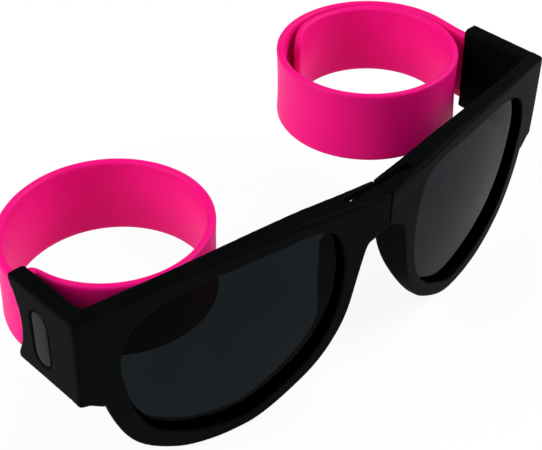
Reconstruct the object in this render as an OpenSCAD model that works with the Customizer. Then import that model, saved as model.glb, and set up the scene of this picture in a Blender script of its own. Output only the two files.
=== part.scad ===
// Slap sunglasses: a front in two halves that folds at the nose bridge, and two coiled slap bands as arms.
// X runs to the right, Y to the rear and Z up, with the glasses upright as they are worn.
// Everything is drawn with the seam of the front at X 0, the outer front corners at Y 0
// and the datum that heights are taken from at Z 0, and is then moved to stand on the origin.

/* [Front] */
// Distance from the seam to the outer front corner
half_width = 71; // [68:0.5:76]
// Height of the outer top corner over the datum
corner_height = 50; // [48:0.5:52]
// Angle by which each half sweeps back from the seam
wrap_angle = 12.5; // [9:0.5:15]
// Angle by which the bottom of the front leans to the rear
tilt_angle = 3.9; // [1:0.1:6]
// Forward bulge of each half between its seam and its corner
front_bulge = 1.5; // [0.8:0.1:2.5]
// Thickness of the front plate
plate_t = 3.5; // [3.2:0.1:4]
// Depth of the front at the bridge
bridge_depth = 6.1; // [5.8:0.1:6.6]
// Distance from the seam over which the brow thins down to the plate
brow_taper = 40; // [34:1:46]
// Depth of the rim at the nose
nose_depth = 7.3; // [6.9:0.1:8]
// Height of the brow over the corner, at the seam
brow_at_seam = 4.5; // [3.5:0.1:5]
// Height of the brow over the corner, at its highest
brow_peak = 5.2; // [4.8:0.1:6]
// Height of the bridge, from its arch to the brow
bridge_height = 8.7; // [8:0.1:10]
// Gap between the two halves at the seam
seam_gap = 0.2; // [0.1:0.05:0.3]

/* [Lens openings] */
// Distance from the seam to the lens opening
opening_from_seam = 11.4; // [10.5:0.1:12.5]
// Width of the lens opening at the front
opening_w = 52.5; // [49:0.5:54]
// Height of the lens opening at the front
opening_h = 46; // [43:0.5:46.5]
// Distance from the top of the opening to the brow at its peak
brow_band = 3.8; // [3:0.1:5]
// Width of the rim on the nose side
rim_nose = 2.8; // [2.4:0.1:3.4]
// Width of the rim on the outer side
rim_outer = 4.6; // [4:0.1:5.2]
// Width and depth of the bevel round the opening
bevel = 1.3; // [0.8:0.1:1.6]
// Depth of the raised eyewire behind the plate's front
eyewire_depth = 5.5; // [5.2:0.1:6]
// Width of the raised eyewire outside the opening
eyewire_w = 1.5; // [1:0.1:2]

/* [Lenses] */
// Thickness of a lens
lens_t = 1.3; // [1:0.1:1.5]
// Radius of a lens's front face
lens_base = 300; // [260:10:340]
// Depth of the middle of a lens behind the front
lens_recess = 1; // [0.8:0.1:1.2]
// Depth of the groove that holds a lens
groove_depth = 1; // [0.7:0.1:1.2]

/* [End pieces] */
// Thickness of an end piece
end_t = 4.3; // [4.1:0.1:4.8]
// Distance that an end piece stands out past the corner
end_proud = 0.4; // [0.2:0.1:0.8]
// Length of an end piece, back from the corner
end_len = 22; // [20.5:0.5:26]
// Height of an end piece
end_h = 22.7; // [22:0.1:24]
// Thickness of the inner wall of an end piece
inner_wall = 1; // [0.9:0.05:1.2]
// Hollow of the outer wall's rear edge
scallop = 2.8; // [1.5:0.1:3.5]
// Length of band that an end piece holds
held_len = 15; // [14:0.5:16]

/* [Inlays] */
// Width of an inlay's face
inlay_w = 5; // [4:0.1:5.4]
// Height of an inlay's face
inlay_h = 13.9; // [12:0.1:14.4]
// Distance of an inlay's middle behind the corner
inlay_y = 12.4; // [12:0.1:13]
// Width of the groove round an inlay
inlay_groove = 0.6; // [0.4:0.05:0.8]

/* [Bands] */
// Width of a band, which stands upright
band_h = 19; // [18:0.25:19.5]
// Thickness of a band's silicone sleeve
band_t = 1.9; // [1.7:0.05:2]
// Thickness of the spring steel strip in a band
strip_t = 0.25; // [0.15:0.05:0.35]
// Width of the spring steel strip
strip_h = 14; // [12:0.5:15]
// Straight run of the right band behind its end piece
right_straight = 14; // [12:0.5:16]
// Radius of the outer lap of the right coil
right_outer_r = 22; // [21.5:0.25:23.5]
// Step of the right coil from one lap to the next
right_step = 2.5; // [2.4:0.1:3]
// Angle that the right coil's inner lap covers
right_inner_turn = 141; // [120:1:150]
// Radius of the left coil's first quarter
left_first_r = 24; // [23:0.25:25]
// Radius of the left coil's second quarter
left_second_r = 22.35; // [21.5:0.05:22.5]
// Radius of the left coil along the front and up to its free end
left_front_r = 21.2; // [20.8:0.1:21.3]
// Angle that the left coil keeps that last radius for
left_front_turn = 200; // [198:1:206]

/* [Bridge hinge] */
// Distance of each hinge screw from the seam
pin_x = 8.3; // [7.8:0.1:8.6]
// Radius of a hinge screw's shank
pin_r = 0.5; // [0.4:0.05:0.5]
// Running clearance of the link on a screw
pin_play = 0.04; // [0.02:0.01:0.06]
// Width of the hinge slot
slot_w = 1.9; // [1.85:0.05:2.2]
// Distance of the hinge slot's middle behind the front of the seam
slot_back = 4.3; // [4.2:0.05:4.5]
// Height of the link at its eyes
link_h = 2.2; // [1.8:0.1:2.4]
// Height of the plastic strip that closes the slot's rear over the link
strip_over = 1; // [0.8:0.1:1.2]
// Largest angle that each half folds by
fold_max = 26; // [15:1:26]

/* [Hidden] */
$fn = 96;

frame_black = "#17181a";
lens_smoke = "#3a3f45";
inlay_grey = "#55585b";
band_pink = "#f0168a";
steel = "#b9bcc0";

slip = 0.1;
eps = 0.01;
chord = half_width / cos(wrap_angle);
front_r = (chord * chord / 4 + front_bulge * front_bulge) / (2 * front_bulge);
opening_top = corner_height + brow_peak - brow_band;
arch_z = corner_height + brow_at_seam - bridge_height;
tall = 3 * corner_height;
deep = 30;

// A local point of the right half, put where it stands in the drawing
function sweep(p) = [half_width + (p[0] - chord) * cos(wrap_angle) - p[1] * sin(wrap_angle),
    (p[0] - chord) * sin(wrap_angle) + p[1] * cos(wrap_angle), p[2]];
function lean(p) = [p[0], p[1] * cos(tilt_angle) - (p[2] - corner_height) * sin(tilt_angle),
    corner_height + p[1] * sin(tilt_angle) + (p[2] - corner_height) * cos(tilt_angle)];
function placed(p) = lean(sweep(p));

// Smooth curves through chosen points
function between(a, b, c, d, t) =
    (2 * b + (c - a) * t + (2 * a - 5 * b + 4 * c - d) * t * t + (3 * b - a - 3 * c + d) * t * t * t) / 2;
function closed_curve(p, n) = [for (i = [0:len(p) - 1], k = [0:n - 1])
    between(p[(i + len(p) - 1) % len(p)], p[i], p[(i + 1) % len(p)], p[(i + 2) % len(p)], k / n)];
function open_curve(p, n) = concat([for (i = [0:len(p) - 2], k = [0:n - 1])
    between(p[max(i - 1, 0)], p[i], p[i + 1], p[min(i + 2, len(p) - 1)], k / n)], [p[len(p) - 1]]);
// Outward direction at a point of a closed curve that runs anticlockwise
function outward(p, i) = let (d = p[(i + 1) % len(p)] - p[(i + len(p) - 1) % len(p)]) [d[1], -d[0]] / norm(d);
function widened(p, w) = [for (i = [0:len(p) - 1]) p[i] + w * outward(p, i)];

// Shape of a lens opening, as shares of its width and its height, from the outer side over the top
opening_shape = [[1, 0.64], [0.98, 0.75], [0.93, 0.845], [0.845, 0.91], [0.70, 0.955], [0.51, 0.975],
    [0.32, 0.99], [0.17, 1], [0.07, 0.965], [0.02, 0.865], [0, 0.71], [0.012, 0.525], [0.06, 0.36],
    [0.15, 0.212], [0.275, 0.10], [0.395, 0.022], [0.49, 0], [0.60, 0.01], [0.735, 0.06], [0.87, 0.165],
    [0.95, 0.335], [0.987, 0.51]];
curve_steps = 3;
opening = closed_curve([for (s = opening_shape)
    [opening_from_seam + s[0] * opening_w, opening_top - (1 - s[1]) * opening_h]], curve_steps);
// The lower rim follows the opening from under the end piece round to the nose
rim_first = 11 * curve_steps;
rim_last = round(20.6 * curve_steps);
function rim_width(x) = let (t = min(1, max(0, (x - opening_from_seam) / opening_w - 0.45) / 0.3))
    rim_nose + (rim_outer - rim_nose) * t * t * (3 - 2 * t);
lower_rim = [for (i = [rim_first:rim_last]) opening[i] + rim_width(opening[i][0]) * outward(opening, i)];
end_bottom = corner_height - end_h;
// Shape of the arch over the nose, as shares of its reach from the seam and of its drop
arch_shape = [[0.42, 0.11], [0.68, 0.245], [1, 1]];
arch = open_curve(concat([[-1, arch_z]], [for (s = arch_shape)
    [s[0] * lower_rim[0][0], arch_z - s[1] * (arch_z - lower_rim[0][1])]]), curve_steps);
brow = open_curve([[chord, corner_height], [0.79 * chord, corner_height + 2.1],
    [0.52 * chord, corner_height + 4.4], [0.31 * chord, corner_height + brow_peak],
    [0.14 * chord, corner_height + (brow_peak + brow_at_seam) / 2], [-1, corner_height + brow_at_seam]],
    curve_steps);
under_end = [[chord - 2, end_bottom - 0.6], [chord, end_bottom]];
half_outline = concat(arch, [for (i = [1:len(lower_rim) - 1]) lower_rim[i]], under_end, brow);

module stand() translate([0, -middle_y, -floor_z]) children();
module on_left() mirror([1, 0, 0]) children();

// A prism along Y of an outline given in X and Z
module prism(points, y0, y1)
    translate([0, y1, 0]) rotate([90, 0, 0]) linear_extrude(y1 - y0) polygon(points);

// All that lies a given depth or more behind the curved front of the right half
module behind(depth)
    translate([chord / 2, front_r - front_bulge, -tall / 2])
        cylinder(r = front_r - depth, h = 2 * tall, $fn = 360);
module layer(from, to) difference() {
    behind(from);
    translate([0, 0, -1]) behind(to);
}
module swept() translate([half_width, 0, corner_height]) rotate([tilt_angle, 0, 0]) rotate([0, 0, wrap_angle])
    translate([-chord, 0, -corner_height]) children();

lens_mid = [opening_from_seam + opening_w / 2, opening_top - opening_h / 2];
// The space between two depths behind the lens's front face
module lens_shell(from, to) translate([lens_mid[0], lens_base - front_bulge + lens_recess, lens_mid[1]])
    difference() {
        sphere(r = lens_base - from, $fn = 180);
        sphere(r = lens_base - to, $fn = 180);
    }
through = widened(opening, -bevel);

// The bevel round the opening, cut along the curve of the front
module bevel_cut() {
    n = len(opening);
    over = bevel / 2;
    wide = widened(opening, bevel);
    narrow = widened(opening, -bevel - over);
    mid = lens_mid[0];
    points = concat([for (p = wide) [p[0], front_at(p[0]) - bevel, p[1]]],
        [for (p = narrow) [p[0], front_at(p[0]) + bevel + over, p[1]]],
        [[mid, front_at(mid) - bevel, lens_mid[1]], [mid, front_at(mid) + bevel + over, lens_mid[1]]]);
    polyhedron(points, [for (i = [0:n - 1]) let (j = (i + 1) % n)
        each [[i, n + j, n + i], [i, j, n + j], [2 * n, j, i], [2 * n + 1, n + i, n + j]]]);
}
function front_at(x) = front_r - front_bulge - sqrt(front_r * front_r - pow(x - chord / 2, 2));

// The front half, in its own swept frame: plate, eyewire, nose rim and bridge
module front_half() {
    intersection() {
        prism(half_outline, -deep / 2, deep / 2);
        layer(0, plate_t);
    }
    intersection() {
        prism(widened(opening, eyewire_w), -deep / 2, deep / 2);
        layer(plate_t - 1, eyewire_depth);
    }
    intersection() {
        prism(half_outline, -deep / 2, deep / 2);
        union() {
            nose_pad();
            thick_brow();
        }
        behind(plate_t - 1);
    }
}
// The deep side of the rim at the nose, which thins out downward and into the brow
module nose_pad() translate([pin_x / 2, 0, 0]) rotate([90, 0, 90]) linear_extrude(nose_pad_x - pin_x / 2)
    polygon([[0, nose_low], [plate_t, nose_low], [nose_depth, nose_high], [nose_depth, nose_top],
        [plate_t, nose_top + 2 * (nose_depth - plate_t)], [0, nose_top + 2 * nose_depth]]);
// The deep brow at the bridge, which thins out to the outer side
module thick_brow() translate([0, 0, nose_high]) linear_extrude(tall)
    polygon(concat([[brow_taper, -deep], [-2, -deep], [-2, bridge_depth]], [for (i = [0:4])
        [brow_taper * i / 4, front_at(brow_taper * i / 4) + bridge_depth + (plate_t - bridge_depth) * i / 4]]));
// The lens opening with its bevel, and the groove that the lens sits in
module lens_seat() {
    prism(through, -deep / 2, deep / 2);
    bevel_cut();
    intersection() {
        prism(widened(opening, groove_depth - bevel), -deep / 2, deep / 2);
        lens_shell(-slip, lens_t + slip);
    }
}
nose_low = 0.26 * corner_height;
nose_high = 0.66 * corner_height;
nose_top = 0.9 * corner_height;
nose_pad_x = opening_from_seam + bevel + 3;

// The end piece: two walls and what joins them over, under and ahead of the band
end_out = half_width + end_proud;
end_in = end_out - end_t;
root_t = band_t;
cavity_in = end_in + inner_wall;
cavity_w = root_t + 3 * slip;
band_x = cavity_in + cavity_w / 2;
band_mid_z = corner_height - end_h / 2 - 0.3;
cavity_h = band_h + 3 * slip;
held_from = end_len - held_len;
outer_wall = end_out - cavity_in - cavity_w;
scallop_half = end_h / 2 - 1.4;
scallop_r = (scallop_half * scallop_half + scallop * scallop) / (2 * scallop);
corner_fillet = 2;
fillet_foot = chord - end_t - corner_fillet;
plate_back = sweep([fillet_foot, front_at(fillet_foot) + plate_t, 0])[1];
module end_piece() difference() {
    union() {
        translate([end_in, -2, end_bottom]) cube([end_t, end_len + 2, end_h]);
        intersection() {
            translate([end_in - corner_fillet, -2, end_bottom]) cube([corner_fillet + 1, end_len, end_h]);
            translate([0, 0, corner_height]) rotate([tilt_angle, 0, 0]) corner_web();
        }
    }
    translate([cavity_in, held_from, band_mid_z - cavity_h / 2]) cube([cavity_w, end_len, cavity_h]);
    intersection() {
        translate([cavity_in + cavity_w / 2, end_len - scallop - 2, end_bottom - 1])
            cube([end_t, scallop + 4, end_h + 2]);
        translate([0, end_len - scallop + scallop_r, corner_height - end_h / 2])
            rotate([0, 90, 0]) cylinder(r = scallop_r, h = tall, $fn = 180);
    }
    inlay_seat();
    rivet_bores();
}
// What fills the inner corner between the plate and an end piece
module corner_web() translate([end_in - corner_fillet, plate_back, -tall / 2]) difference() {
    translate([0, -1, 0]) cube([corner_fillet + 1, corner_fillet + 1, tall]);
    translate([0, corner_fillet, -1]) cylinder(r = corner_fillet, h = tall + 2);
}

// A stadium that stands upright, its middle on an inlay's, from one X to another
module stadium(w, h, x0, x1) translate([x0, inlay_y, band_mid_z]) rotate([0, 90, 0]) linear_extrude(x1 - x0)
    union() {
        square([h - w, w], center = true);
        for (s = [-1, 1]) translate([s * (h - w) / 2, 0]) circle(d = w);
    }
inlay_lip = 0.6;
flange_t = outer_wall * 0.3;
inside = end_out - outer_wall;
module inlay_seat() {
    lip = 2 * (inlay_lip + slip);
    stadium(inlay_w + lip, inlay_h + lip, inside - slip, inside + flange_t);
    stadium(inlay_w + slip, inlay_h + slip, inside, end_out + 1);
    stadium(inlay_w + 2 * inlay_groove, inlay_h + 2 * inlay_groove, end_out - outer_wall * 0.4, end_out + 1);
}
module inlay() union() {
    stadium(inlay_w + 2 * inlay_lip, inlay_h + 2 * inlay_lip, inside, inside + flange_t - slip / 2);
    stadium(inlay_w, inlay_h, inside, end_out + 0.05);
}

rivet_r = 0.8;
rivet_gap = 7;
anchor_t = 0.5;
anchor_w = 4.4;
root_out = band_x + root_t / 2;
module rivet_cut(r, x0, x1) for (s = [-1, 1])
    translate([x0, inlay_y, band_mid_z + s * rivet_gap / 2]) rotate([0, 90, 0])
        cylinder(r = r, h = x1 - x0, $fn = 48);
rivet_tip = end_in + 0.3;
module rivet_bores() rivet_cut(rivet_r + slip / 4, rivet_tip, cavity_in + 1);
module anchor_rivets() {
    rivet_cut(rivet_r, rivet_tip, root_out);
    rivet_cut(rivet_r + 0.5, root_out - anchor_t * 0.5, root_out);
}
module anchor_plate() difference() {
    stadium(anchor_w, anchor_w + rivet_gap, root_out - anchor_t, root_out);
    rivet_cut(rivet_r + slip / 2, root_out - 1, root_out + 1);
    rivet_cut(rivet_r + 0.5 + slip / 4, root_out - anchor_t * 0.5 - slip / 4, root_out + 1);
}

// The flat of a band seen end on, upright, with its edges fully round
module band_section(w, h) union() {
    square([w, h - w], center = true);
    for (s = [-1, 1]) translate([0, s * (h - w) / 2]) circle(d = w, $fn = 48);
}
strip_room = strip_t + slip;
module sleeve_section() difference() {
    band_section(band_t, band_h);
    square([strip_room, strip_h + 2 * slip], center = true);
}
module strip_section() square([strip_t, strip_h], center = true);

// A band's route seen from above: its start, its heading and its runs, each a radius and an angle.
// A positive angle turns left, a negative one turns right, and a radius of 0 is a straight run.
right_path = [[0, right_straight], [right_outer_r, 180], [right_outer_r - right_step / 2, 180],
    [right_outer_r - right_step, right_inner_turn]];
// The left band's last stretch curls in a little.
left_path = [[left_first_r, 90], [left_second_r, 90], [left_front_r, 180],
    [left_front_r - 0.4, left_front_turn - 180]];
function step(s, run) = run[0] == 0
    ? [s[0] + run[1] * cos(s[2]), s[1] + run[1] * sin(s[2]), s[2]]
    : let (side = run[1] > 0 ? 1 : -1, c = run_centre(s, run), h = s[2] + run[1])
        [c[0] + side * run[0] * sin(h), c[1] - side * run[0] * cos(h), h];
function run_centre(s, run) = let (side = run[1] > 0 ? 1 : -1)
    [s[0] - side * run[0] * sin(s[2]), s[1] + side * run[0] * cos(s[2])];
band_start = [band_x, end_len, 90];
function state(path, n) = n == 0 ? band_start : step(state(path, n - 1), path[n - 1]);
function coil_centre_y(path) = run_centre(state(path, 1), path[1])[1];
function run_length(run) = run[0] == 0 ? run[1] : run[0] * abs(run[1]) * PI / 180;
module band(path) for (n = [0:len(path) - 1]) {
    run = path[n];
    s = state(path, n);
    if (run[0] == 0)
        translate([s[0], s[1], band_mid_z]) rotate([90, 0, 180]) linear_extrude(run[1]) children();
    else {
        c = run_centre(s, run);
        translate([c[0], c[1], band_mid_z]) rotate([0, 0, run[1] > 0 ? s[2] - 90 : s[2] + 90])
            rotate_extrude(angle = run[1], $fn = 180) translate([run[0], 0]) children();
    }
}

// Points along the middle of a band, and the least gap that they leave between its laps
function trail(path) = [for (n = [0:len(path) - 1], k = [0:23])
    let (run = path[n]) concat(step(state(path, n), [run[0], run[1] * k / 24]),
        length_before(path, n) + run_length(run) * k / 24)];
function length_before(path, n) = n == 0 ? 0 : length_before(path, n - 1) + run_length(path[n - 1]);
function least_gap(path) = let (t = trail(path))
    min([for (i = [0:len(t) - 1], j = [0:len(t) - 1]) if (t[j][3] - t[i][3] > 4 * left_front_r)
        norm([t[i][0] - t[j][0], t[i][1] - t[j][1]])]) - band_t;
echo(origin = [0, middle_y, floor_z]);
echo(least_gap_right = least_gap(right_path), least_gap_left = least_gap(left_path));
echo(length_right = length_before(right_path, len(right_path)),
    length_left = length_before(left_path, len(left_path)));

// The rounded corners of a sleeve's free end
tip_r = 5;
module tip_cut(path) {
    s = state(path, len(path));
    translate([s[0], s[1], band_mid_z]) rotate([0, 0, s[2] - 90]) for (m = [0, 1]) mirror([0, 0, m])
        difference() {
            translate([-2, -tip_r, band_h / 2 - tip_r]) cube([4, tip_r + 1, tip_r + 1]);
            translate([-3, -tip_r, band_h / 2 - tip_r]) rotate([0, 90, 0]) cylinder(r = tip_r, h = 6);
        }
}
module sleeve(path) difference() {
    band(path) sleeve_section();
    tip_cut(path);
}
tip_solid = 6;
function shortened(path, by) = let (n = len(path) - 1) [for (i = [0:n])
    i < n ? path[i] : [path[n][0], path[n][1] - by / path[n][0] * 180 / PI]];

joint_gap = 0.05;
module band_root() difference() {
    translate([band_x, end_len - joint_gap, band_mid_z]) rotate([90, 0, 0])
        linear_extrude(held_len - joint_gap - slip) sleeve_section();
    rivet_cut(rivet_r + slip / 4, end_in, end_out);
    stadium(anchor_w + slip, anchor_w + rivet_gap + slip, root_out - anchor_t, end_out);
}
module strip_root() difference() {
    translate([band_x, end_len - joint_gap, band_mid_z]) rotate([90, 0, 0])
        linear_extrude(held_len - 1) strip_section();
    rivet_cut(rivet_r + slip / 4, end_in, end_out);
}

// The origin lies under the middle of the whole, at the level of the lowest rim
right_centre = coil_centre_y(right_path);
front_y = placed([0, 0, corner_height + brow_at_seam])[1];
rear_y = right_centre + right_outer_r + band_t / 2;
middle_y = (front_y + rear_y) / 2;
floor_z = min([for (p = lower_rim) placed([p[0], 0, p[1]])[2]]) - front_bulge * sin(tilt_angle);

// The bridge hinge: a link on two screws, in a slot cut in the top of both halves
pin_y = front_y + slot_back;
top_z = placed([0, 0, corner_height + brow_at_seam])[2];
window_top = top_z - strip_over;
link_top = window_top - 0.2;
link_bottom = link_top - link_h;
pocket_floor = link_bottom - 0.15;
eye_r = slot_w / 2 - 0.07;
screw_deep = 3.2;
head_h = 0.5;
driver_w = 0.24;
tongue = [1, 5.6];
tongue_w = 0.8;
function aside(angle, along, out) = [pin_x - along * cos(angle) + out * sin(angle),
    pin_y + along * sin(angle) + out * cos(angle)];
module hinge_cut(with_tongue) {
    difference() {
        translate([-1, pin_y - slot_w / 2, pocket_floor]) cube([pin_x + 1.75, slot_w, tall]);
        if (with_tongue)
            translate([tongue[0], pin_y - slot_w / 2 - 1, window_top])
                cube([tongue[1] - tongue[0], 1 + tongue_w, tall]);
    }
    translate([pin_x + 0.75, pin_y, pocket_floor]) cylinder(r = slot_w / 2, h = tall);
    open = fold_max + 3;
    translate([0, 0, pocket_floor]) linear_extrude(window_top - pocket_floor)
        polygon([[-1, pin_y - slot_w / 2], [pin_x, pin_y - slot_w / 2], [pin_x + eye_r / 2, pin_y],
            aside(open, 0, slot_w / 2), aside(open, 1.7 * pin_x, slot_w / 2)]);
    translate([pin_x, pin_y, link_bottom - screw_deep - slip]) cylinder(r = pin_r + 0.02, h = screw_deep + 1);
}
// Behind the screws the seam is opened a little, so that the halves can swing past each other
seam_relief = 0.4;
module seam_side() {
    translate([seam_gap / 2, front_y - 2, -tall]) cube([2 * half_width, pin_y - front_y + 2, 3 * tall]);
    translate([seam_relief, pin_y - 1, -tall]) cube([2 * half_width, 2 * half_width, 3 * tall]);
}

module frame_half(with_tongue) color(frame_black) stand() difference() {
    intersection() {
        union() {
            swept() front_half();
            intersection() {
                end_piece();
                swept() behind(0);
            }
        }
        seam_side();
    }
    swept() lens_seat();
    hinge_cut(with_tongue);
}
module lens() color(lens_smoke, 0.6) stand() swept() intersection() {
    prism(widened(opening, groove_depth - bevel - slip), -deep / 2, deep / 2);
    lens_shell(0, lens_t);
}

module left_frame_half() on_left() frame_half(false);
module right_frame_half() frame_half(true);
module left_lens() on_left() lens();
module right_lens() lens();
module left_inlay() color(inlay_grey) on_left() stand() inlay();
module right_inlay() color(inlay_grey) stand() inlay();
module left_anchor_plate() color(steel) on_left() stand() anchor_plate();
module right_anchor_plate() color(steel) stand() anchor_plate();
module left_anchor_rivets() color(steel) on_left() stand() anchor_rivets();
module right_anchor_rivets() color(steel) stand() anchor_rivets();
module left_band_root() color(band_pink) on_left() stand() band_root();
module right_band_root() color(band_pink) stand() band_root();
module left_strip_root() color(steel) on_left() stand() strip_root();
module right_strip_root() color(steel) stand() strip_root();
module left_band_sleeve() color(band_pink) on_left() stand() sleeve(left_path);
module right_band_sleeve() color(band_pink) stand() sleeve(right_path);
module spring_strip(path) color(steel) stand() band(shortened(path, tip_solid)) strip_section();
module left_spring_strip() on_left() spring_strip(left_path);
module right_spring_strip() spring_strip(right_path);

link_bar = 1.5;
module bridge_link() color(steel) stand() difference() {
    union() {
        for (s = [-1, 1]) translate([s * pin_x, pin_y, link_bottom]) cylinder(r = eye_r, h = link_h);
        translate([-pin_x, pin_y - link_bar / 2, link_bottom]) cube([2 * pin_x, link_bar, link_h]);
    }
    for (s = [-1, 1]) translate([s * pin_x, pin_y, link_bottom - 1])
        cylinder(r = pin_r + pin_play, h = link_h + 2);
}
module hinge_screw() color(steel) stand() difference() {
    union() {
        translate([pin_x, pin_y, link_bottom - screw_deep])
            cylinder(r = pin_r, h = screw_deep + link_h + slip);
        translate([pin_x, pin_y, link_top + slip]) cylinder(r = eye_r - 0.05, h = head_h);
    }
    translate([pin_x - eye_r, pin_y - driver_w / 2, link_top + slip + head_h - driver_w])
        cube([2 * eye_r, driver_w, 1]);
}
module left_hinge_screw() on_left() hinge_screw();
module right_hinge_screw() hinge_screw();

left_frame_half();
right_frame_half();
left_lens();
right_lens();
left_inlay();
right_inlay();
left_anchor_plate();
right_anchor_plate();
left_anchor_rivets();
right_anchor_rivets();
left_band_root();
right_band_root();
left_strip_root();
right_strip_root();
left_band_sleeve();
right_band_sleeve();
left_spring_strip();
right_spring_strip();
bridge_link();
left_hinge_screw();
right_hinge_screw();
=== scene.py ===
import itertools
import math

import bpy
import numpy as np
from mathutils import Matrix, Vector


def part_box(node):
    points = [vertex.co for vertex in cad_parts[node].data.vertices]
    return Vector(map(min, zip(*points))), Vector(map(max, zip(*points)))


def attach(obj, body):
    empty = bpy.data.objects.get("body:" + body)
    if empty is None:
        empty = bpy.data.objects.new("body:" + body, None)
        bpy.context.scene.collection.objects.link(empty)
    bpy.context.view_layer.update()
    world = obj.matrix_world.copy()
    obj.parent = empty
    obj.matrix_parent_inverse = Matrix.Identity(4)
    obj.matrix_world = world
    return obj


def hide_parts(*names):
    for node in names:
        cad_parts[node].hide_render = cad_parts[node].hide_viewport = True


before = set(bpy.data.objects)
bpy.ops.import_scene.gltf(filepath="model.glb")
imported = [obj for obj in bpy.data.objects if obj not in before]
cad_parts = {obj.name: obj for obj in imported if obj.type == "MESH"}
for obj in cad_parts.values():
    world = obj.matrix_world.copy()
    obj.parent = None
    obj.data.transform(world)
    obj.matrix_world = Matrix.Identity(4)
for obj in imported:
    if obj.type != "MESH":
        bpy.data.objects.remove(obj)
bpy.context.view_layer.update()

# Lengths are in millimetres, in the drawing's place: the seam of the front at X 0, the outer front
# corners at Y 0 and heights from the drawing's datum. The function to_row moves them to the frame.
MM = 0.001

# Front: each half is a curved plate that sweeps back from the seam and leans
HALF_WIDTH = 71.0
CORNER_HEIGHT = 50.0
WRAP = math.radians(12.5)
LEAN = math.radians(3.9)
FRONT_BULGE = 1.5
FRONT_DOME = 0.5
PLATE_T = 3.5
BRIDGE_DEPTH = 6.1
BROW_TAPER = 56.0
NOSE_DEPTH = 7.5
NOSE_SPLAY = 1.2
NOSE_LEAN = 3.5
BROW_AT_SEAM = 4.5
BROW_PEAK = 5.7
BRIDGE_HEIGHT = 8.7
SEAM_GAP = 0.2
CHORD = HALF_WIDTH / math.cos(WRAP)
FRONT_R = (CHORD ** 2 / 4 + FRONT_BULGE ** 2) / (2 * FRONT_BULGE)

# Lens openings and eyewires
OPENING_FROM_SEAM = 11.4
OPENING_W = 52.5
OPENING_H = 46.0
BROW_BAND = 3.8
RIM_NOSE = 3.6
RIM_OUTER = 4.8
BEVEL = 0.4
BEVEL_DEPTH = 2.1
EYEWIRE_DEPTH = 4.8
EYEWIRE_W = 1.5
OPENING_TOP = CORNER_HEIGHT + BROW_PEAK - BROW_BAND
ARCH_Z = CORNER_HEIGHT + BROW_AT_SEAM - BRIDGE_HEIGHT
LENS_MID = (OPENING_FROM_SEAM + OPENING_W / 2, OPENING_TOP - OPENING_H / 2)
LENS_T = 1.3
LENS_BASE = 300.0
LENS_RECESS = 0.7
LENS_LIP = 0.3
REAR_INSET = 0.2
GROOVE_DEPTH = 1.0
SLIP = 0.1
# The painted shade on the opening's wall starts this far outside the opening's curve and blends in over
# this width
WALL_SHADE_FROM = 0.05
WALL_SHADE_BLEND = 0.15

# End pieces, which turn back from the corners and hold the bands
END_T = 4.3
END_PROUD = 0.4
END_LEN = 22.0
END_H = 22.7
END_BOTTOM = CORNER_HEIGHT - END_H
END_OUT = HALF_WIDTH + END_PROUD
END_IN = END_OUT - END_T
INNER_WALL = 1.0
SCALLOP = 2.8
CORNER_FILLET = 3.0
HELD_LEN = 15.0

# Bands
BAND_H = 19.0
BAND_T = 1.9
STRIP_T = 0.25
STRIP_H = 14.0
STRIP_SHORT = 6.0
CAVITY_W = BAND_T + 3 * SLIP
CAVITY_H = BAND_H + 3 * SLIP
BAND_X = END_IN + INNER_WALL + CAVITY_W / 2
BAND_Z = CORNER_HEIGHT - END_H / 2 - 0.3
TIP_R = 7.0
# A sleeve's edges stand out from its middle by this much more
FLARE = 0.3

# Inlays
INLAY_W = 5.0
INLAY_H = 13.9
INLAY_Y = 12.4
INLAY_GROOVE = 0.6
INLAY_T = 0.9
SEAT_DEPTH = 0.55
INLAY_SOFT = 0.3
INLAY_CROWN = 0.06

# Hinge slot in the top of the bridge
PIN_X = 8.3
SLOT_W = 1.9
SLOT_BACK = 4.3
SLOT_END = 0.75
LINK_H = 2.2
STRIP_OVER = 1.0
FOLD_MAX = 26.0
# The tongue in the right half's slot: where it starts and ends from the seam, and how thick it is
TONGUE = (1.0, 5.6, 0.8)


def swept(x, y, z):
    """A point of the right half's own swept and leaning frame, put where it stands in the drawing."""
    along = x - CHORD
    level_x = HALF_WIDTH + along * math.cos(WRAP) - y * math.sin(WRAP)
    level_y = along * math.sin(WRAP) + y * math.cos(WRAP)
    over = z - CORNER_HEIGHT
    return (level_x, level_y * math.cos(LEAN) - over * math.sin(LEAN),
            CORNER_HEIGHT + level_y * math.sin(LEAN) + over * math.cos(LEAN))


FRONT_Y = swept(0, 0, CORNER_HEIGHT + BROW_AT_SEAM)[1]
TOP_Z = swept(0, 0, CORNER_HEIGHT + BROW_AT_SEAM)[2]
PIN_Y = FRONT_Y + SLOT_BACK
WINDOW_TOP = TOP_Z - STRIP_OVER
POCKET_FLOOR = WINDOW_TOP - LINK_H - 0.35

# The frame's own pieces say where the drawing's datum lies in it
screw_low, screw_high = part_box("right_hinge_screw")
inlay_low, inlay_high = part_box("right_inlay")
DATUM = np.array([0.0, PIN_Y - (screw_low.y + screw_high.y) / 2 / MM,
                  BAND_Z - (inlay_low.z + inlay_high.z) / 2 / MM])


def to_row(points, side=1):
    """Drawing points in millimetres as frame points in metres, mirrored where side is -1."""
    return (np.asarray(points, float) - DATUM) * MM * np.array([side, 1, 1])


# Outlines

def curve_through(points, steps, closed=True):
    """A smooth curve through chosen points, with so many steps between each two of them."""
    p = np.asarray(points, float)
    n = len(p)
    rows = []
    for i in range(n if closed else n - 1):
        pick = [p[(i + k) % n] if closed else p[min(max(i + k, 0), n - 1)] for k in (-1, 0, 1, 2)]
        a, b, c, d = pick
        for t in np.arange(steps) / steps:
            rows.append((2 * b + (c - a) * t + (2 * a - 5 * b + 4 * c - d) * t * t
                         + (3 * b - a - 3 * c + d) * t ** 3) / 2)
    if not closed:
        rows.append(p[-1])
    return np.array(rows)


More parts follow.
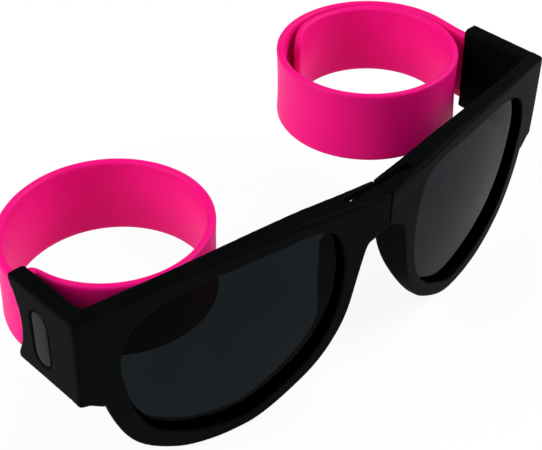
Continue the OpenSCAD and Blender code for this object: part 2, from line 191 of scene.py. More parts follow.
def widened(curve, width):
    """A closed curve that runs anticlockwise, moved outward by a width, which may differ by point."""
    along = np.roll(curve, -1, 0) - np.roll(curve, 1, 0)
    outward = np.stack([along[:, 1], -along[:, 0]], 1) / np.linalg.norm(along, axis=1)[:, None]
    return curve + outward * np.reshape(width, (-1, 1))


OPENING_SHAPE = [(1, 0.64), (0.98, 0.75), (0.93, 0.845), (0.845, 0.91), (0.70, 0.955), (0.51, 0.975),
                 (0.32, 0.99), (0.17, 1), (0.07, 0.965), (0.02, 0.865), (0, 0.71), (0.012, 0.525),
                 (0.06, 0.36), (0.15, 0.212), (0.275, 0.10), (0.395, 0.022), (0.49, 0), (0.60, 0.01),
                 (0.735, 0.06), (0.87, 0.165), (0.95, 0.335), (0.987, 0.51)]
CURVE_STEPS = 6
opening = curve_through([(OPENING_FROM_SEAM + u * OPENING_W, OPENING_TOP - (1 - v) * OPENING_H)
                         for u, v in OPENING_SHAPE], CURVE_STEPS)


def smooth_step(t):
    t = np.clip(t, 0, 1)
    return t * t * (3 - 2 * t)


def half_outline():
    """The outline of the right half: arch, lower rim, the step under the end piece, and brow."""
    share = (opening[:, 0] - OPENING_FROM_SEAM) / OPENING_W
    rim = widened(opening, RIM_NOSE + (RIM_OUTER - RIM_NOSE) * smooth_step((share - 0.45) / 0.3))
    lower = rim[11 * CURVE_STEPS:round(20.6 * CURVE_STEPS) + 1]
    arch = curve_through([(-3, ARCH_Z + 0.6), (0, ARCH_Z), (3.6, ARCH_Z - 2), (5.7, ARCH_Z - 4.2),
                          lower[0]], CURVE_STEPS, closed=False)
    step = [(CHORD - 5.2, END_BOTTOM - 2.4), (CHORD - 4, END_BOTTOM - 1.75), (CHORD - 2, END_BOTTOM - 0.6),
            (CHORD + 3, END_BOTTOM)]
    brow = curve_through([(CHORD + 3, CORNER_HEIGHT), (CHORD, CORNER_HEIGHT),
                          (0.79 * CHORD, CORNER_HEIGHT + 2.5), (0.52 * CHORD, CORNER_HEIGHT + 4.9),
                          (0.31 * CHORD, CORNER_HEIGHT + BROW_PEAK),
                          (0.14 * CHORD, CORNER_HEIGHT + (BROW_PEAK + BROW_AT_SEAM) / 2),
                          (0, CORNER_HEIGHT + BROW_AT_SEAM), (-3, CORNER_HEIGHT + BROW_AT_SEAM)],
                         CURVE_STEPS, closed=False)
    return np.vstack([arch, lower[1:], step, brow])


# Shapes as distances: each function gives how far points lie outside a shape, negative inside it

def outside_curve(curve, x, z):
    near = np.full(np.broadcast(x, z).shape, 1e9)
    inside = np.zeros(near.shape, bool)
    for a, b in zip(curve, np.roll(curve, -1, 0)):
        d = b - a
        t = np.clip(((x - a[0]) * d[0] + (z - a[1]) * d[1]) / (d @ d + 1e-12), 0, 1)
        near = np.minimum(near, (x - a[0] - t * d[0]) ** 2 + (z - a[1] - t * d[1]) ** 2)
        if a[1] != b[1]:
            crosses = (a[1] > z) != (b[1] > z)
            inside ^= crosses & (x < a[0] + (z - a[1]) * d[0] / d[1])
    return np.where(inside, -1, 1) * np.sqrt(near)


def both(a, b, edge):
    """What lies in two shapes, its edge rounded."""
    corner = np.hypot(np.maximum(a + edge, 0), np.maximum(b + edge, 0))
    return np.minimum(np.maximum(a, b), -edge) + corner


def either(a, b, fillet):
    """What lies in one of two shapes, the corner between them filled."""
    return -both(-a, -b, fillet)


def without(a, b, edge):
    return both(a, -b, edge)


def between(v, low, high):
    return np.maximum(low - v, v - high)


def outside_stadium(y, z, width, height):
    """An upright stadium about the inlay's middle."""
    reach = np.maximum(np.abs(z - BAND_Z) - (height - width) / 2, 0)
    return np.hypot(y - INLAY_Y, reach) - width / 2


def front_plate(x, z, depth, outline, lens_gap, at_nose):
    """The plate, deeper at the bridge and along the nose, with the eyewire behind the lens opening."""
    from_seam = np.clip(1 - x / BROW_TAPER, 0, 1) ** 1.5
    brow_more = (BRIDGE_DEPTH - PLATE_T) * from_seam * smooth_step((z - 38) / 6)
    nose_more = (NOSE_DEPTH - PLATE_T) * at_nose * (1 - smooth_step((z - 42) / 8))
    # The side along the nose splays out to the rear
    splay = (NOSE_SPLAY * smooth_step((depth - 3) / 4.5) * at_nose * smooth_step((x - 3) / 4)
             * smooth_step((48 - z) / 4))
    rear_edge = 0.35 + 0.9 * smooth_step((44 - z) / 12)
    plate = both(outline - splay, depth - PLATE_T - np.maximum(brow_more, nose_more), rear_edge)
    eyewire = both(both(lens_gap - EYEWIRE_W, outline, 0.5), depth - EYEWIRE_DEPTH, 0.7)
    return either(plate, eyewire, 0.5)


def end_piece(px, py, pz, depth):
    """It shares the plate's front, and a fillet joins its inner face to the plate's back."""
    back = either(depth - PLATE_T, np.maximum(END_IN - px, py - 2 * END_LEN), CORNER_FILLET)
    # It reaches into the plate far enough to hold the whole fillet
    block = np.maximum(back, END_IN - CORNER_FILLET - 1 - px)
    block = both(block, between(pz, END_BOTTOM, CORNER_HEIGHT), 0.8)
    return both(block, py - END_LEN, 0.4)


def cut_lens_opening(body, x, y, z, depth, lens_gap, at_nose):
    """The opening narrows from the front to the lens and flares out behind it, but leans in at the nose."""
    centre = (LENS_MID[0], LENS_BASE - FRONT_BULGE + LENS_RECESS, LENS_MID[1])
    bowl = np.sqrt((x - centre[0]) ** 2 + (y - centre[1]) ** 2 + (z - centre[2]) ** 2)
    inward = BEVEL * np.clip(depth / BEVEL_DEPTH, 0, 1)
    behind = LENS_BASE - bowl - LENS_T - LENS_LIP
    flare_out = (BEVEL - REAR_INSET) * np.clip(behind / 0.8, 0, 1)
    lean_in = NOSE_LEAN * at_nose * smooth_step(behind / 4)
    body = without(body, lens_gap + inward - flare_out + lean_in, 0.15)
    groove = np.maximum(between(LENS_BASE - bowl, -SLIP, LENS_T + SLIP), lens_gap + BEVEL - GROOVE_DEPTH)
    return without(body, groove, 0.2)


def cut_end_piece(body, px, py, pz):
    """The pocket that holds the band, the hollow in the outer wall's rear edge, and the inlay's seat."""
    pocket = np.maximum(between(px, END_IN + INNER_WALL, END_IN + INNER_WALL + CAVITY_W),
                        between(pz, BAND_Z - CAVITY_H / 2, BAND_Z + CAVITY_H / 2))
    body = without(body, np.maximum(pocket, END_LEN - HELD_LEN - py), 0.25)
    half_h = END_H / 2 - 1.4
    hollow_r = (half_h ** 2 + SCALLOP ** 2) / (2 * SCALLOP)
    hollow = np.hypot(py - (END_LEN - SCALLOP + hollow_r), pz - (CORNER_HEIGHT - END_H / 2)) - hollow_r
    body = without(body, np.maximum(hollow, END_IN + INNER_WALL + CAVITY_W / 2 - px), 0.25)
    seat = outside_stadium(py, pz, INLAY_W + 2 * INLAY_GROOVE, INLAY_H + 2 * INLAY_GROOVE)
    return without(body, np.maximum(seat, END_OUT - SEAT_DEPTH - px), 0.12)


def cut_hinge(body, px, py, pz, with_tongue):
    """The hinge slot, open at the top, the window that the link swings out of, and the seam."""
    slot = np.hypot(np.maximum(px - PIN_X - SLOT_END, 0), py - PIN_Y) - SLOT_W / 2
    slot = np.maximum(slot, POCKET_FLOOR - pz)
    # Beyond the round end of the link the slot is only a shallow recess
    slot = np.maximum(slot, -np.maximum(PIN_X + SLOT_W / 2 - px, pz - WINDOW_TOP + 0.3))
    if with_tongue:
        tongue = np.maximum(between(px, TONGUE[0], TONGUE[1]), py - (PIN_Y - SLOT_W / 2 + TONGUE[2]))
        slot = np.maximum(slot, -np.maximum(tongue, WINDOW_TOP - pz))
    body = without(body, slot, 0.15)
    # The window is wider than the link needs at the fold's limit
    open_angle = math.radians(FOLD_MAX + 12)
    swing = (px - PIN_X) * math.sin(open_angle) + (py - PIN_Y) * math.cos(open_angle) - SLOT_W / 2 - 0.2
    window = np.maximum(np.maximum(swing, PIN_Y - SLOT_W / 2 - py), between(pz, POCKET_FLOOR, WINDOW_TOP))
    body = np.maximum(body, -np.maximum(window, px - PIN_X + 0.4))
    # The seam opens behind the screws by as much as the halves need to swing past each other
    seam = SEAM_GAP / 2 + 0.02 + np.maximum(py - PIN_Y, 0) ** 2 / (2 * PIN_X) - px
    return both(body, seam, 0.1)


def half_solid(x, y, z, with_tongue):
    """The right half at points of its own frame: x (n,1,1), y (1,n,1) and z (1,1,n)."""
    px, py, pz = swept(x, y, z)
    flat_x, flat_z = x[:, :, 0], z[0, :, :]
    outline = outside_curve(half_outline(), flat_x, flat_z)[:, None, :]
    lens_gap = outside_curve(opening, flat_x, flat_z)[:, None, :]
    level = np.clip(z / CORNER_HEIGHT, 0, 1)
    dome = FRONT_DOME * 4 * level * (1 - level)
    front = FRONT_R - FRONT_BULGE - np.sqrt(FRONT_R ** 2 - (x - CHORD / 2) ** 2) - dome
    depth = y - front
    at_nose = smooth_step((z - 12) / 23) * smooth_step((OPENING_FROM_SEAM + 7.6 - x) / 7)
    body = front_plate(x, z, depth, outline, lens_gap, at_nose)
    body = np.minimum(body, end_piece(px, py, pz, depth))
    # The front's edge is softest along the brow over the nose side of the lens
    softest = smooth_step((x - 4) / 8) * smooth_step((46 - x) / 22) * smooth_step((z - 48) / 4)
    body = both(both(body, px - END_OUT, 0.6), -depth, 0.55 + 0.6 * softest)
    body = cut_lens_opening(body, x, y, z, depth, lens_gap, at_nose)
    body = cut_end_piece(body, px, py, pz)
    return cut_hinge(body, px, py, pz, with_tongue)


# Meshes

def sampled(field, p):
    """The field at fractional grid places."""
    low = np.clip(np.floor(p).astype(int), 0, np.array(field.shape) - 2)
    f = p - low
    total = np.zeros(len(p))
    for corner in itertools.product((0, 1), repeat=3):
        c = np.array(corner)
        weight = np.prod(np.where(c, f, 1 - f), axis=1)
        total += weight * field[tuple((low + c).T)]
    return total


def skin(field):
    """Vertices, in grid steps, and quads of the surface where the field is 0."""
    solid = field < 0
    cells = tuple(n - 1 for n in field.shape)
    corners = list(itertools.product((0, 1), repeat=3))
    count = sum(solid[i:i + cells[0], j:j + cells[1], k:k + cells[2]].astype(np.int8)
                for i, j, k in corners)
    mixed = (count > 0) & (count < 8)
    at = np.argwhere(mixed)
    index = np.full(cells, -1)
    index[mixed] = np.arange(len(at))
    total, hits = np.zeros((len(at), 3)), np.zeros(len(at))
    for corner in corners:
        for axis in range(3):
            if corner[axis]:
                continue
            a = at + np.array(corner)
            b = a.copy()
            b[:, axis] += 1
            va, vb = field[tuple(a.T)], field[tuple(b.T)]
            crosses = (va < 0) != (vb < 0)
            place = a.astype(float)
            place[:, axis] += np.where(crosses, va / np.where(crosses, va - vb, 1), 0)
            total[crosses] += place[crosses]
            hits += crosses
    verts = total / hits[:, None]
    for _ in range(3):
        value = sampled(field, verts)
        slope = np.stack([(sampled(field, verts + 0.5 * e) - sampled(field, verts - 0.5 * e))
                          for e in np.eye(3)], 1)
        step = value[:, None] * slope / np.maximum((slope ** 2).sum(1), 1e-6)[:, None]
        verts = verts - np.clip(step, -0.5, 0.5)
    quads = []
    for axis in range(3):
        first = np.moveaxis(solid, axis, 0)
        change = first[:-1] != first[1:]
        e = np.argwhere(np.moveaxis(change, 0, axis))
        u, v = (axis + 1) % 3, (axis + 2) % 3
        e = e[(e[:, u] > 0) & (e[:, v] > 0) & (e[:, u] < cells[u]) & (e[:, v] < cells[v])]
        ring = []
        for du, dv in ((0, 0), (1, 0), (1, 1), (0, 1)):
            c = e.copy()
            c[:, u] -= du
            c[:, v] -= dv
            ring.append(index[tuple(c.T)])
        quad = np.stack(ring, 1)
        leaving = solid[tuple(e.T)]
        quad[~leaving] = quad[~leaving][:, ::-1]
        quads.append(quad)
    return verts, np.vstack(quads)


def new_piece(name, verts, faces, smooth=True):
    mesh = bpy.data.meshes.new(name)
    mesh.from_pydata(np.asarray(verts).tolist(), [], [list(map(int, f)) for f in faces])
    mesh.validate()
    mesh.update()
    if smooth:
        mesh.polygons.foreach_set("use_smooth", [True] * len(mesh.polygons))
    piece = bpy.data.objects.new(name, mesh)
    bpy.context.scene.collection.objects.link(piece)
    return piece


def turned(faces):
    return [f[::-1] for f in faces]


GRID_STEP = 0.32


def frame_half(side):
    """One moulded half of the front, from the seam to the end piece's mouth."""
    low, high = np.array([-1.5, -2.6, 0.5]), np.array([79.5, 25.0, 57.0])
    axes = [np.arange(a, b, GRID_STEP) for a, b in zip(low, high)]
    x, y, z = np.meshgrid(*axes, indexing="ij", sparse=True)
    verts, quads = skin(half_solid(x, y, z, with_tongue=side > 0))
    px, py, pz = swept(*(low + verts * GRID_STEP).T)
    faces = quads if side > 0 else quads[:, ::-1]
    # How far each vertex is inside the opening's curve, which tells its wall from the front; the wall gets
    # painted shade
    gap = outside_curve(opening, x[:, :, 0], z[0, :, :])[:, None, :].repeat(2, 1)
    wall = np.clip((WALL_SHADE_FROM - sampled(gap, verts * [1, 0, 1])) / WALL_SHADE_BLEND, 0, 1)
    return to_row(np.stack([px, py, pz], 1), side), faces, wall


def lens_mesh(side, rings=18):
    """A domed lens, as rings from its middle to an edge that sits in the groove."""
    rim = widened(opening, GROOVE_DEPTH - BEVEL - SLIP)
    mid = np.array(LENS_MID)
    faces, verts, n = [], [], len(rim)
    bowl_y = LENS_BASE - FRONT_BULGE + LENS_RECESS
    for inset in (0.0, LENS_T):
        for k in range(rings + 1):
            flat = mid + (rim - mid) * (k / rings if k else 1e-3)
            away = ((flat - mid) ** 2).sum(1)
            y = bowl_y - np.sqrt((LENS_BASE - inset) ** 2 - away)
            verts.append(np.stack(swept(flat[:, 0], y, flat[:, 1]), 1))
    def ring(layer, k, i):
        return (layer * (rings + 1) + k) * n + i % n
    for i in range(n):
        for k in range(rings):
            faces.append((ring(0, k, i), ring(0, k + 1, i), ring(0, k + 1, i + 1), ring(0, k, i + 1)))
            faces.append((ring(1, k, i + 1), ring(1, k + 1, i + 1), ring(1, k + 1, i), ring(1, k, i)))
        faces.append((ring(0, rings, i), ring(1, rings, i), ring(1, rings, i + 1), ring(0, rings, i + 1)))
    faces.append(tuple(ring(0, 0, i) for i in range(n)))
    faces.append(tuple(ring(1, 0, i) for i in reversed(range(n))))
    faces = turned(faces) if side < 0 else faces
    return to_row(np.vstack(verts), side), faces


ROUTE_STEP = 0.5


def route(runs, ease=5.0, step=ROUTE_STEP):
    """A band's way seen from above, from runs of length and radius. A radius of 0 is straight, and a
    negative one turns away from the coil. Bends ease into each other over a short stretch."""
    bend = np.concatenate([np.full(round(length / step), 1 / radius if radius else 0.0)
                           for length, radius in runs])
    window = int(ease / step) | 1
    padded = np.concatenate([np.zeros(window // 2), bend, np.full(window // 2, bend[-1])])
    bend = np.convolve(padded, np.ones(window) / window, mode="valid")
    heading = math.pi / 2 + np.concatenate([[0], np.cumsum(bend) * step])
    middle = (heading[1:] + heading[:-1]) / 2
    moves = np.stack([np.cos(middle), np.sin(middle)], 1) * step
    places = np.array([BAND_X, END_LEN]) + np.concatenate([[[0, 0]], np.cumsum(moves, 0)])
    return places, heading


def turn(radius, degrees):
    """A run of so many degrees at a radius."""
    return abs(radius) * math.radians(degrees), radius


# The free bands from the mouths of the end pieces to their tips, the right one (1) and the left one (-1)
ROUTES = {
    1: [(1.0, 0), turn(-50.0, 10), turn(22.75, 190), turn(21.525, 180), turn(19.9, 90), turn(17.6, 38)],
    -1: [turn(9.0, 10), turn(25.0, 80), turn(21.9, 90), turn(21.3, 150), turn(20.4, 42)],
}


def band_section(width, height, points=9):
    """The band seen end on: distance from its middle outward, and height, with round edges."""
    r = width / 2
    flat = np.linspace(-1, 1, 2 * points)[1:-1] * (height / 2 - r)
    up = np.linspace(0, math.pi, points)
    rows = [(r, v) for v in flat]
    rows += [(r * math.cos(a), height / 2 - r + r * math.sin(a)) for a in up]
    rows += [(-r, -v) for v in flat]
    rows += [(-r * math.cos(a), -(height / 2 - r) - r * math.sin(a)) for a in up]
    return np.array(rows)


def swept_band(places, heading, width, height, side, shrink=None, tip=0.0, flare=0.0):
    """A band's mesh along a route. It can be thinner by so much at each place, its tip's corners can
    be rounded by a radius, and its edges can flare outward."""
    section = band_section(width, height)
    n, m = len(places), len(section)
    steps = np.linalg.norm(np.diff(places, axis=0), axis=1)
    to_tip = steps.sum() - np.concatenate([[0], np.cumsum(steps)])
    verts = []
    for i in range(n):
        out, up = section[:, 0].copy(), section[:, 1].copy()
        if tip:
            short = max(tip - to_tip[i], 0.0)
            up_limit = height / 2 - tip + math.sqrt(max(tip ** 2 - short ** 2, 0.0))
            up = up * up_limit / (height / 2)
            edge = max(1 - to_tip[i] / (width / 2), 0.0)
            out = out * max(math.sqrt(max(1 - edge ** 2, 0.0)), 0.02)
        if shrink is not None:
            out, up = out * (1 - shrink[i] / (width / 2)), up * (1 - shrink[i] / (height / 2))
        out = out + flare * ((2 * up / height) ** 2 - 0.4)
        normal = np.array([math.sin(heading[i]), -math.cos(heading[i])])
        flat = places[i] + out[:, None] * normal
        verts.append(np.column_stack([flat, BAND_Z + up]))
    faces = []
    for i in range(n - 1):
        for j in range(m):
            a, b = i * m + j, i * m + (j + 1) % m
            faces.append((a, b, b + m, a + m))
    faces.append(tuple(reversed(range(m))))
    faces.append(tuple(range((n - 1) * m, n * m)))
    faces = turned(faces) if side < 0 else faces
    return to_row(np.vstack(verts), side), faces


def inlay_mesh(side, arc=24):
    """A stadium plate with a soft edge and a slight crown, proud of the bottom of its groove."""
    r, straight = INLAY_W / 2, (INLAY_H - INLAY_W) / 2
    outline = []
    for centre, first in ((straight, 0.0), (-straight, math.pi)):
        for a in np.linspace(first, first + math.pi, arc):
            outline.append((math.cos(a), math.sin(a), centre))
    outline = np.array(outline)
    rows = [(r, -INLAY_T)]
    rows += [(r - INLAY_SOFT + INLAY_SOFT * math.cos(a), -INLAY_SOFT + INLAY_SOFT * math.sin(a))
             for a in np.linspace(0, math.pi / 2, 6)]
    rows += [(r * f, INLAY_CROWN * (1 - f * f)) for f in (0.7, 0.4, 0.1)]
    n = len(outline)
    verts = [np.column_stack([np.full(n, END_OUT - INLAY_CROWN + height), INLAY_Y + outline[:, 0] * reach,
                              BAND_Z + outline[:, 2] + outline[:, 1] * reach]) for reach, height in rows]
    faces = []
    for k in range(len(rows) - 1):
        for i in range(n):
            a, b = k * n + i, k * n + (i + 1) % n
            faces.append((a, b, b + n, a + n))
    faces.append(tuple(range((len(rows) - 1) * n, len(rows) * n)))
    faces.append(tuple(reversed(range(n))))
    faces = turned(faces) if side < 0 else faces
    return to_row(np.vstack(verts), side), faces


def link_mesh():
    """The link that lies in the slot: a flat bar with round ends, and deeper in its middle, where it
    reaches back under the strips that close the slot's rear."""
    r, low, high, soft = SLOT_W / 2 - 0.06, POCKET_FLOOR + 0.1, WINDOW_TOP - 0.04, 0.1
    round_end = [(PIN_X + r * math.sin(a), r * math.cos(a)) for a in np.linspace(0, math.pi, 17)]
    outline = [(x, -y) for x, y in round_end] + [(1.5, 2.2), (-1.5, 2.2)] + [(-x, y) for x, y in round_end]
    n = len(outline)
    verts = []
    for inset, z in ((soft, low), (0, low + soft), (0, high - soft), (soft, high)):
        verts += [(x - math.copysign(inset, x), PIN_Y + y * (1 - inset / r), z) for x, y in outline]
    faces = [(k * n + i, k * n + (i + 1) % n, (k + 1) * n + (i + 1) % n, (k + 1) * n + i)
             for k in range(3) for i in range(n)]
    faces += [tuple(reversed(range(n))), tuple(range(3 * n, 4 * n))]
    return to_row(verts), faces


# Materials

def linear(code):
    """An sRGB hex colour as linear values."""
    parts = [int(code[i:i + 2], 16) / 255 for i in (1, 3, 5)]
    return [c / 12.92 if c <= 0.04045 else ((c + 0.055) / 1.055) ** 2.4 for c in parts] + [1.0]


def add_node(tree, kind, values=None, links=None, **settings):
    """One node with its settings, the values of its sockets and the sockets that feed it."""
    node = tree.nodes.new(kind)
    for name, value in settings.items():
        setattr(node, name, value)
    for socket, value in (values or {}).items():
        node.inputs[socket].default_value = value
    for socket, source in (links or {}).items():
        tree.links.new(source, node.inputs[socket])
    return node


def new_material(name):
    material = bpy.data.materials.new(name)
    material.use_nodes = True
    material.node_tree.nodes.clear()
    return material, material.node_tree


def finish_material(tree, shader):
    add_node(tree, "ShaderNodeOutputMaterial", links={"Surface": shader.outputs[0]})


def moulded_black_polycarbonate():
    """Polycarbonate from a spark-eroded mould: near black, with an even fine grain that breaks up gloss."""
    material, tree = new_material("moulded_black_polycarbonate")
    place = add_node(tree, "ShaderNodeTexCoord").outputs["Object"]
    # Grain of 0.35 mm, several times coarser than the real one, so that it shows
    grain = add_node(tree, "ShaderNodeTexNoise",
                     {"Scale": 1 / (0.35 * MM), "Detail": 3.0, "Roughness": 0.6}, {"Vector": place})
    # The black drifts a shade over 9 mm, as where the melt has flowed
    cloud = add_node(tree, "ShaderNodeTexNoise", {"Scale": 1 / (9 * MM), "Detail": 2.0}, {"Vector": place})
    colour = add_node(tree, "ShaderNodeValToRGB", links={"Fac": cloud.outputs["Fac"]})
    colour.color_ramp.elements[0].position = 0.3
    colour.color_ramp.elements[0].color = linear("#030404")
    colour.color_ramp.elements[1].position = 0.75
    colour.color_ramp.elements[1].color = linear("#050606")
    rough = add_node(tree, "ShaderNodeMapRange", {"To Min": 0.46, "To Max": 0.62},
                     {"Value": grain.outputs["Fac"]})
    bump = add_node(tree, "ShaderNodeBump", {"Strength": 0.22, "Distance": 0.04 * MM},
                    {"Height": grain.outputs["Fac"]})
    # The wall of the lens opening gets painted shade: its colour goes to near black and its gloss to none,
    # as where shade falls deep in the opening
    wall = add_node(tree, "ShaderNodeAttribute", attribute_name="opening_wall_shade").outputs["Fac"]
    shade = add_node(tree, "ShaderNodeMix", {"B": linear("#010101")},
                     {"Factor": wall, "A": colour.outputs["Color"]}, data_type="RGBA")
    gloss = add_node(tree, "ShaderNodeMapRange", {"To Min": 0.014, "To Max": 0.0}, {"Value": wall})
    shader = add_node(tree, "ShaderNodeBsdfPrincipled", {"IOR": 1.58},
                      {"Base Color": shade.outputs["Result"], "Roughness": rough.outputs["Result"],
                       "Specular IOR Level": gloss.outputs["Result"], "Normal": bump.outputs["Normal"]})
    finish_material(tree, shader)
    return material


def smoke_lens():
    """Polished tinted lens: a hard gloss over a neutral dark tint that still lets shapes through."""
    material, tree = new_material("polished_smoke_lens")
    place = add_node(tree, "ShaderNodeTexCoord").outputs["Object"]
    # The tint drifts a shade over 14 mm
    haze = add_node(tree, "ShaderNodeTexNoise", {"Scale": 1 / (14 * MM), "Detail": 1.0}, {"Vector": place})
    colour = add_node(tree, "ShaderNodeValToRGB", links={"Fac": haze.outputs["Fac"]})
    colour.color_ramp.elements[0].color = linear("#14181b")
    colour.color_ramp.elements[1].color = linear("#181c20")
    # The IOR is matched to how little the lens mirrors, and is far under the 1.5 of the real plastic
    shader = add_node(tree, "ShaderNodeBsdfPrincipled",
                      {"IOR": 1.075, "Roughness": 0.02, "Transmission Weight": 1.0},
                      {"Base Color": colour.outputs["Color"]})
    finish_material(tree, shader)
    return material


def satin_inlay_abs():
    """ABS plate with a satin face, a shade lighter and smoother than the frame round it."""
    material, tree = new_material("satin_grey_abs")
    place = add_node(tree, "ShaderNodeTexCoord").outputs["Object"]
    # Grain of 0.5 mm, coarser than the real one, so that it shows
    grain = add_node(tree, "ShaderNodeTexNoise", {"Scale": 1 / (0.5 * MM), "Detail": 2.0},
                     {"Vector": place})
    colour = add_node(tree, "ShaderNodeValToRGB", links={"Fac": grain.outputs["Fac"]})
    colour.color_ramp.elements[0].color = linear("#0b0e0e")
    colour.color_ramp.elements[1].color = linear("#101313")
    bump = add_node(tree, "ShaderNodeBump", {"Strength": 0.1, "Distance": 0.03 * MM},
                    {"Height": grain.outputs["Fac"]})
    shader = add_node(tree, "ShaderNodeBsdfPrincipled",
                      {"IOR": 1.54, "Roughness": 0.42, "Specular IOR Level": 0.06},
                      {"Base Color": colour.outputs["Color"], "Normal": bump.outputs["Normal"]})
    finish_material(tree, shader)
    return material


def pink_silicone():
    """Pigmented silicone rubber from a polished mould: silky, a little soft in its shadows."""
    material, tree = new_material("hot_pink_silicone")
    place = add_node(tree, "ShaderNodeTexCoord").outputs["Object"]
    # The pigment drifts a shade over 11 mm
    cloud = add_node(tree, "ShaderNodeTexNoise", {"Scale": 1 / (11 * MM), "Detail": 3.0}, {"Vector": place})
    colour = add_node(tree, "ShaderNodeValToRGB", links={"Fac": cloud.outputs["Fac"]})
    colour.color_ramp.elements[0].position = 0.25
    colour.color_ramp.elements[0].color = linear("#d80570")
    colour.color_ramp.elements[1].position = 0.8
    colour.color_ramp.elements[1].color = linear("#e00776")
    # Grain of 0.3 mm, coarser than the real one, so that it shows
    grain = add_node(tree, "ShaderNodeTexNoise", {"Scale": 1 / (0.3 * MM), "Detail": 2.0},
                     {"Vector": place})
    bump = add_node(tree, "ShaderNodeBump", {"Strength": 0.08, "Distance": 0.02 * MM},
                    {"Height": grain.outputs["Fac"]})
    shader = add_node(tree, "ShaderNodeBsdfPrincipled",
                      {"IOR": 1.41, "Roughness": 0.5, "Specular IOR Level": 0.12, "Subsurface Weight": 0.15,
                       "Subsurface Radius": (0.002, 0.0005, 0.0009), "Subsurface Scale": 0.5},
                      {"Base Color": colour.outputs["Color"], "Normal": bump.outputs["Normal"]})
    finish_material(tree, shader)
    return material


def satin_steel(name, code, roughness):
    """Steel, satin or rolled: fine lines along one way stretch its highlights."""
    material, tree = new_material(name)
    place = add_node(tree, "ShaderNodeTexCoord").outputs["Object"]
    # Lines 0.6 mm long and an eighth of that apart, coarser than the real ones, so that they show
    stretched = add_node(tree, "ShaderNodeMapping", {"Scale": (1.0, 8.0, 1.0)}, {"Vector": place})
    lines = add_node(tree, "ShaderNodeTexNoise", {"Scale": 1 / (0.6 * MM), "Detail": 2.0},
                     {"Vector": stretched.outputs["Vector"]})
    bump = add_node(tree, "ShaderNodeBump", {"Strength": 0.1, "Distance": 0.02 * MM},
                    {"Height": lines.outputs["Fac"]})
    shader = add_node(tree, "ShaderNodeBsdfPrincipled",
                      {"Base Color": linear(code), "Metallic": 1.0, "Roughness": roughness},
                      {"Normal": bump.outputs["Normal"]})
    finish_material(tree, shader)
    return material


black = moulded_black_polycarbonate()
smoke = smoke_lens()
inlay_grey = satin_inlay_abs()
pink = pink_silicone()
hinge_steel = satin_steel("satin_stainless_steel", "#b4b6b8", 0.35)
spring_steel = satin_steel("rolled_spring_steel", "#9fa3a8", 0.28)
blackened_steel = satin_steel("blackened_steel", "#232426", 0.45)


def settle(piece, material, body, slot_name, *nodes):
    """Gives a piece its material and its body, and hides the nodes that it stands for. Its slot_name is not
    used.
    """
    piece.data.materials.append(material)
    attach(piece, body)
    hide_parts(*nodes)


# The camera stands where the photograph's camera stood, solved from the photograph's outlines
PHOTO_W = 542
SENSOR = 36.0
FOCAL_PX = 1369.0
CAMERA_AZIMUTH, CAMERA_ELEVATION, CAMERA_ROLL = (math.radians(a) for a in (-42.78, 38.00, -0.44))
CAMERA_DISTANCE = 449.97
CAMERA_TARGET = (66.57, 93.59, -52.75)


def make_camera():
    a, e = CAMERA_AZIMUTH, CAMERA_ELEVATION
    back = Vector((math.sin(a) * math.cos(e), -math.cos(a) * math.cos(e), math.sin(e)))
    right = (-back).cross(Vector((0, 0, 1))).normalized()
    up = right.cross(-back)
    c, s = math.cos(CAMERA_ROLL), math.sin(CAMERA_ROLL)
    right, up = c * right + s * up, -s * right + c * up
    place = Vector(to_row(np.array(CAMERA_TARGET) + CAMERA_DISTANCE * np.array(back)))
    data = bpy.data.cameras.new("photo_camera")
    data.sensor_width = SENSOR
    data.lens = FOCAL_PX / PHOTO_W * SENSOR
    data.clip_start, data.clip_end = 0.01, 20.0
    camera = bpy.data.objects.new("photo_camera", data)
    turned_axes = Matrix((right, up, back)).transposed()
    camera.matrix_world = Matrix.Translation(place) @ turned_axes.to_4x4()
    bpy.context.scene.collection.objects.link(camera)
    bpy.context.scene.camera = camera


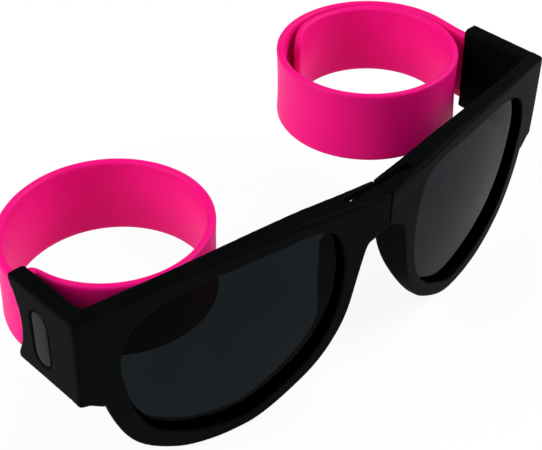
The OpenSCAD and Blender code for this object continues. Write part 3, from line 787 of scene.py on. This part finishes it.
make_camera()
for side, word in ((-1, "left"), (1, "right")):
    half, band = word + "_half", word + "_band"
    verts, faces, wall = frame_half(side)
    shell = new_piece(word + "_frame_shell", verts, faces)
    # Each vertex's share of the painted shade on the lens opening's wall
    shell.data.attributes.new("opening_wall_shade", "FLOAT", "POINT").data.foreach_set("value", wall)
    settle(shell, black, half, "frame_black", word + "_frame_half")
    glass = new_piece(word + "_smoke_lens", *lens_mesh(side))
    glass.data.set_sharp_from_angle(angle=math.radians(40))
    settle(glass, smoke, half, "smoke_lens", word + "_lens")
    plate = new_piece(word + "_inlay_plate", *inlay_mesh(side))
    settle(plate, inlay_grey, half, "inlay_grey", word + "_inlay")

    places, heading = route(ROUTES[side])
    # The free band starts a little inside the held one, and a hair thinner there, so that no gap shows
    start = np.array([[BAND_X, END_LEN - 0.9], [BAND_X, END_LEN - 0.05]])
    free_places = np.vstack([start, places])
    free_heading = np.concatenate([[math.pi / 2] * 2, heading])
    shrink = np.zeros(len(free_places))
    shrink[:2] = 0.04
    sleeve = new_piece(word + "_sleeve", *swept_band(free_places, free_heading, BAND_T, BAND_H, side,
                                                     shrink, TIP_R, FLARE))
    settle(sleeve, pink, band, "pink_silicone", word + "_band_sleeve")
    held_places = np.array([[BAND_X, y] for y in np.linspace(END_LEN - HELD_LEN + 0.1, END_LEN, 16)])
    held = new_piece(word + "_held_sleeve", *swept_band(held_places, np.full(16, math.pi / 2), BAND_T,
                                                        BAND_H, side, flare=FLARE))
    settle(held, pink, half, "pink_silicone", word + "_band_root")
    # The strip ends short of the sleeve's tip
    strip_end = -int(STRIP_SHORT / ROUTE_STEP)
    strip = new_piece(word + "_steel_strip", *swept_band(places[:strip_end], heading[:strip_end], STRIP_T,
                                                         STRIP_H, side), smooth=False)
    settle(strip, spring_steel, band, "spring_steel", word + "_spring_strip")

    for node in ("anchor_plate", "strip_root"):
        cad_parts[word + "_" + node].data.materials.clear()
        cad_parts[word + "_" + node].data.materials.append(spring_steel)
    for node, steel in (("anchor_rivets", hinge_steel), ("hinge_screw", blackened_steel)):
        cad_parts[word + "_" + node].data.materials.clear()
        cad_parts[word + "_" + node].data.materials.append(steel)
link = new_piece("slot_link", *link_mesh(), smooth=False)
settle(link, blackened_steel, "bridge_link", "hinge_steel", "bridge_link")


# Floor, light and background

def white_to_the_eye(tree, share):
    """1 for rays that look straight or through glass, times a share."""
    path = add_node(tree, "ShaderNodeLightPath")
    either_way = add_node(tree, "ShaderNodeMath", operation="MAXIMUM",
                          links={0: path.outputs["Is Camera Ray"], 1: path.outputs["Is Transmission Ray"]})
    return add_node(tree, "ShaderNodeMath", {1: share}, {0: either_way.outputs[0]},
                    operation="MULTIPLY").outputs[0]


def make_floor():
    mesh = bpy.data.meshes.new("floor")
    half = 6.0
    corners = [(-half, -half, 0), (half, -half, 0), (half, half, 0), (-half, half, 0)]
    mesh.from_pydata(corners, [], [(0, 1, 2, 3)])
    floor = bpy.data.objects.new("floor", mesh)
    floor.location.z = -0.0004
    bpy.context.scene.collection.objects.link(floor)
    material, tree = new_material("pale_studio_floor")
    matte = add_node(tree, "ShaderNodeBsdfDiffuse", {"Color": linear("#e6e6e6")})
    glow = add_node(tree, "ShaderNodeEmission", {"Strength": 1.0})
    mix = add_node(tree, "ShaderNodeMixShader", links={0: white_to_the_eye(tree, 0.9),
                                                       1: matte.outputs[0], 2: glow.outputs[0]})
    finish_material(tree, mix)
    mesh.materials.append(material)


def make_world():
    world = bpy.data.worlds.new("studio")
    bpy.context.scene.world = world
    world.use_nodes = True
    tree = world.node_tree
    tree.nodes.clear()
    soft = add_node(tree, "ShaderNodeBackground", {"Color": linear("#f2f6fb"), "Strength": 0.36})
    white = add_node(tree, "ShaderNodeBackground", {"Color": (1, 1, 1, 1), "Strength": 1.0})
    mix = add_node(tree, "ShaderNodeMixShader", links={0: white_to_the_eye(tree, 1.0),
                                                       1: soft.outputs[0], 2: white.outputs[0]})
    add_node(tree, "ShaderNodeOutputWorld", links={"Surface": mix.outputs[0]})


def area_light(name, place, target, size, power):
    data = bpy.data.lights.new(name, "AREA")
    data.size = size
    data.energy = power
    lamp = bpy.data.objects.new(name, data)
    lamp.location = place
    lamp.rotation_euler = (Vector(target) - Vector(place)).to_track_quat("-Z", "Y").to_euler()
    bpy.context.scene.collection.objects.link(lamp)


make_floor()
make_world()
middle = (0.0, 0.0, 0.03)
area_light("left_softbox", (-0.9, 0.4, 0.6), middle, 0.7, 12.0)
area_light("right_softbox", (0.85, -0.5, 0.8), middle, 0.7, 15.0)
area_light("front_softbox", (-0.6, -0.8, 0.8), middle, 0.9, 3.0)
bpy.context.scene.view_settings.view_transform = "Standard"
